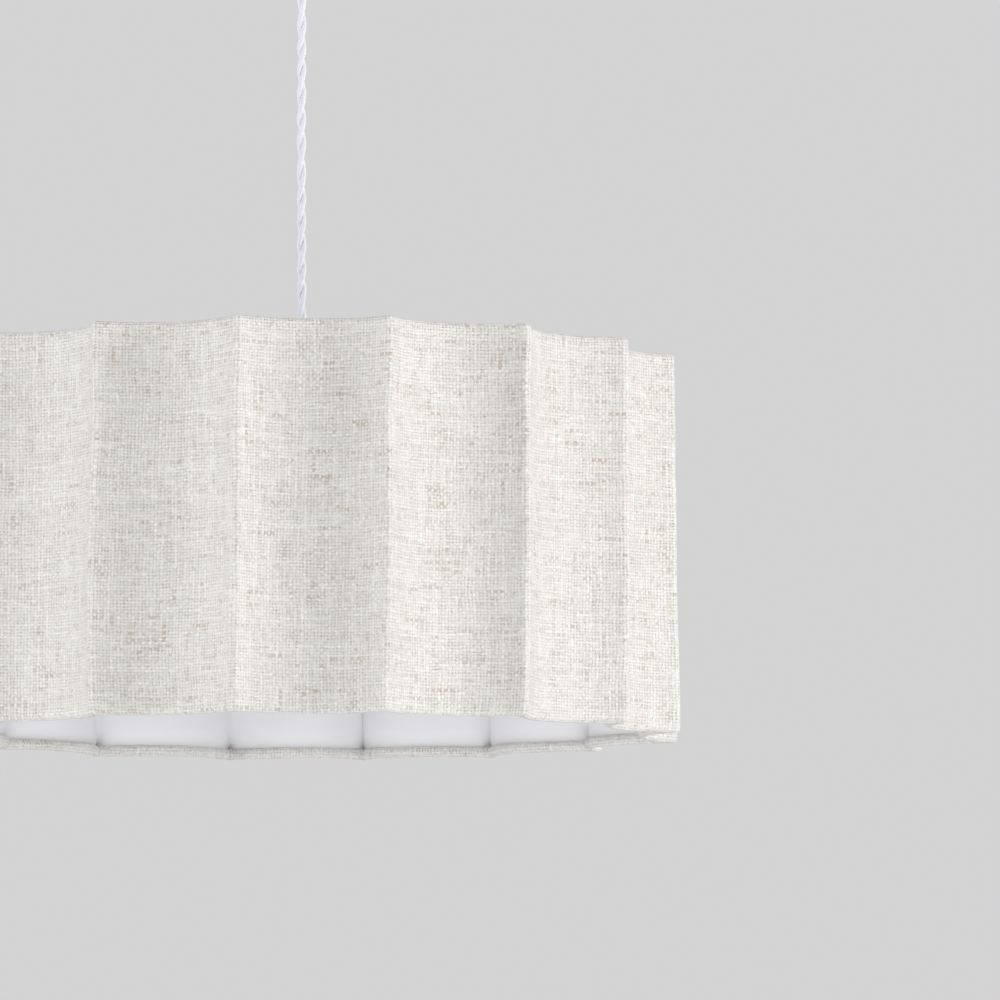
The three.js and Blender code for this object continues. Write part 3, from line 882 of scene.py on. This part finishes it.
def holder_cap():
    low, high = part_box("holder_cap")
    wall, neck, bore = 2.2 * MM, 7 * MM, 3.4 * MM
    straight = low.z + 10 * MM

    def dome(inset):
        start = Vector((high.x - inset, straight))
        corner = Vector((high.x - inset, high.z - 4 * MM - inset))
        end = Vector((neck, high.z - inset))
        return [
            start * (1 - t) ** 2 + corner * 2 * t * (1 - t) + end * t * t
            for t in (i / 14 for i in range(15))
        ]

    groove = [
        (high.x, low.z + 2 * MM), (high.x - 0.6 * MM, low.z + 2.4 * MM),
        (high.x - 0.6 * MM, low.z + 3 * MM), (high.x, low.z + 3.4 * MM),
    ]
    outline = [
        (high.x - wall, low.z), (high.x, low.z), *groove, *dome(0), (bore, high.z), (bore, high.z - wall),
        *reversed(dome(wall)),
    ]
    piece = turned("lampholder_cap", WHITE_PLASTIC, outline, soften=0.25 * MM)
    keep(piece, "pendant", "white_plastic", "holder_cap")


def holder_gland():
    low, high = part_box("holder_gland")
    bore = 3.2 * MM
    top = high.z - 3 * MM
    body = turned("gland_body", WHITE_PLASTIC, [
        (bore, low.z), (high.x, low.z), (high.x, top), (4.8 * MM, high.z), (bore, high.z),
    ])
    ribs = grown(
        "gland_ribs", ribs_tree(WHITE_PLASTIC), WHITE_PLASTIC, count=20, radius=high.x - 0.2 * MM,
        middle=(low.z + top) / 2, height=(top - low.z) * 0.86, width=1 * MM, depth=0.8 * MM,
    )
    keep(join("lampholder_gland", body, ribs), "pendant", "white_plastic", "holder_gland")


def holder_insert():
    low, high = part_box("holder_insert")
    skirt = 14.1 * MM
    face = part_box("screw_shell")[1].z + 0.3 * MM
    piece = turned("ceramic_insert", CERAMIC, [
        (0, face), (skirt, face), (skirt, low.z), (high.x, low.z), (high.x, high.z), (0, high.z),
    ])
    keep(piece, "pendant", "porcelain", "holder_insert")


def lamp_socket():
    """The screwed sleeve, rolled from sheet with a round thread."""
    low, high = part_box("screw_shell")
    crest, root, sheet, pitch = 12.7 * MM, 13.3 * MM, 0.45 * MM, 3.6 * MM
    turns = (high.z - low.z) / pitch
    shape = bmesh.new()
    around, up = 64, 44
    rings = []
    for radius_shift in (0, sheet):
        rings.append([])
        for j in range(up + 1):
            z = low.z + (high.z - low.z) * j / up
            ring = []
            for i in range(around):
                angle = 2 * math.pi * i / around
                wave = math.cos(2 * math.pi * turns * j / up - angle)
                radius = (crest + root) / 2 + wave * (root - crest) / 2 + radius_shift
                ring.append(shape.verts.new((radius * math.cos(angle), radius * math.sin(angle), z)))
            rings[-1].append(ring)
    inner, outer = rings
    for i in range(around):
        n = (i + 1) % around
        for j in range(up):
            shape.faces.new((inner[j][i], inner[j + 1][i], inner[j + 1][n], inner[j][n]))
            shape.faces.new((outer[j][i], outer[j][n], outer[j + 1][n], outer[j + 1][i]))
        shape.faces.new((inner[0][i], inner[0][n], outer[0][n], outer[0][i]))
        shape.faces.new((inner[up][i], outer[up][i], outer[up][n], inner[up][n]))
    keep(from_bmesh("socket_sleeve", shape, NICKEL), "pendant", "nickel", "screw_shell")


def centre_contact():
    """A turned brass contact, lower in the middle."""
    low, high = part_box("centre_contact")
    piece = turned("socket_contact", BRASS, [
        (0, low.z), (1.6 * MM, low.z + 0.1 * MM), (high.x, low.z + 0.6 * MM), (high.x, high.z), (0, high.z),
    ], soften=0.3 * MM, sides=40)
    keep(piece, "pendant", "brass", "centre_contact")


# ---- the ceiling cup ----
def ceiling_cup():
    low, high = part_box("ceiling_cup")
    wall, corner, mouth = 1.5 * MM, 10 * MM, 7.2 * MM

    def bend(radius, start, end):
        centre = Vector((high.x - corner, low.z + corner))
        return [
            centre + Vector((math.cos(a), math.sin(a))) * radius
            for a in (math.radians(start + (end - start) * i / 10) for i in range(11))
        ]

    outline = [
        (high.x - wall, high.z), *bend(corner - wall, 0, -90), (mouth, low.z + wall), (mouth, low.z),
        *bend(corner, -90, 0), (high.x, high.z),
    ]
    piece = turned("ceiling_cup_shell", WHITE_STEEL, outline, soften=0.3 * MM, sides=128)
    keep(piece, "ceiling_rose", "white_steel", "ceiling_cup")


def swivel():
    low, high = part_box("swivel_ball")
    pivot, flat = (low.z + high.z) / 2, (high.z - low.z) / 2
    ball = 8.8 * MM
    edge = math.asin(flat / ball)
    throat = 3.1 * MM
    flare = flat * math.tan(math.radians(15))
    belly = [
        (ball * math.cos(a), pivot + ball * math.sin(a)) for a in (edge * (i / 8 - 1) for i in range(17))
    ]
    outline = [(throat, pivot), (throat + flare, low.z), *belly, (throat + flare, high.z)]
    keep(turned("ball", BALL_PLASTIC, outline, soften=0.2 * MM, sides=64), "swivel", "swivel", "swivel_ball")


def thumb_screws():
    """Two knurled screws that hold the cup to its base."""
    for number, side in ((1, -1), (2, 1)):
        low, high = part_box(f"cup_screw_{number}")
        reach, radius = high.x - low.x, (high.z - low.z) / 2
        head = 3 * MM
        body = turned("screw_body", NICKEL, [
            (0, 0), (2 * MM, 0), (2 * MM, reach - head), (radius - 0.5 * MM, reach - head),
            (radius - 0.5 * MM, reach), (1.2 * MM, reach), (0.9 * MM, reach - 0.5 * MM),
            (0, reach - 0.5 * MM),
        ], soften=0.3 * MM, sides=48)
        knurl = grown(
            "screw_knurl", ribs_tree(NICKEL), NICKEL, count=22, radius=radius - 0.5 * MM,
            middle=reach - head / 2, height=head * 0.8, width=0.5 * MM, depth=0.9 * MM,
        )
        screw = join(f"thumb_screw_{number}", body, knurl)
        lie = Matrix.Rotation(side * math.pi / 2, 4, "Y")
        inner = low.x if side > 0 else high.x
        screw.data.transform(Matrix.Translation((inner, 0, (low.z + high.z) / 2)) @ lie)
        keep(screw, "ceiling_rose", "nickel", f"cup_screw_{number}")


def dress_nodes():
    """Materials for the frame's own nodes that stay."""
    finishes = {
        "ceiling_base": WHITE_STEEL, "cord_clamp": WHITE_PLASTIC, "clamp_screw": NICKEL,
        "terminal_block": WHITE_PLASTIC, "terminal_screw_1": BRASS, "terminal_screw_2": BRASS,
    }
    for name, material in finishes.items():
        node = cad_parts[name]
        node.data.materials.clear()
        node.data.materials.append(material)


linen_cover()
liner()
ring_wires()
fitter()
clamping_ring()
hub_washer()
holder_shell()
holder_cap()
holder_gland()
holder_insert()
lamp_socket()
centre_contact()
ceiling_cup()
swivel()
thumb_screws()
dress_nodes()


# ---- studio ----
def studio():
    world = bpy.data.worlds.new("studio")
    world.use_nodes = True
    world.node_tree.nodes["Background"].inputs[0].default_value = (0.655, 0.655, 0.655, 1)
    bpy.context.scene.world = world
    bpy.context.scene.view_settings.view_transform = "Standard"
    middle = Vector((0, 0, (EDGE_LOW + EDGE_HIGH) / 2))

    def soft_light(name, place, size, power, colour=(1, 1, 1)):
        data = bpy.data.lights.new(name, "AREA")
        data.shape = "SQUARE"
        data.size = size
        data.energy = power
        data.color = colour
        light = bpy.data.objects.new(name, data)
        bpy.context.scene.collection.objects.link(light)
        light.location = middle + Vector(place)
        light.rotation_euler = (-Vector(place)).to_track_quat("-Z", "Y").to_euler()
        light.visible_camera = False

    soft_light("key", (2.85, -1.15, 0.4), 1.6, 45, (1, 0.99, 0.97))
    soft_light("fill", (-3.0, -0.6, 0.2), 1.8, 35)
    soft_light("low_fill", (0, -1.9, -2.2), 3.6, 27, (0.97, 0.98, 1))
    soft_light("front_fill", (0.3, -3.2, -1.1), 1.6, 13)
    soft_light("back_right", (2.1, 2.4, 0.3), 1.8, 36)
    soft_light("back_left", (-2.1, 2.4, 0.3), 1.8, 15)
    floor_mesh = bpy.data.meshes.new("floor")
    reach, depth = 60, EDGE_LOW - 6.6  # wide and far down, so that it stays out of the low views' way
    floor_mesh.from_pydata(
        [(-reach, -reach, depth), (reach, -reach, depth), (reach, reach, depth), (-reach, reach, depth)],
        [], [(0, 1, 2, 3)],
    )
    coat, tree, shader = new_material("studio_floor", Roughness=0.9)
    place = add_node(tree, "ShaderNodeTexCoord").outputs["Object"]
    cloud = noise(tree, place, 0.6, 3)
    pale = colour_between(tree, cloud, (0.84, 0.84, 0.84), (0.88, 0.88, 0.88))
    plug(tree, pale, shader.inputs["Base Color"])
    floor = object_from("floor", floor_mesh, coat, smooth=False)


studio()
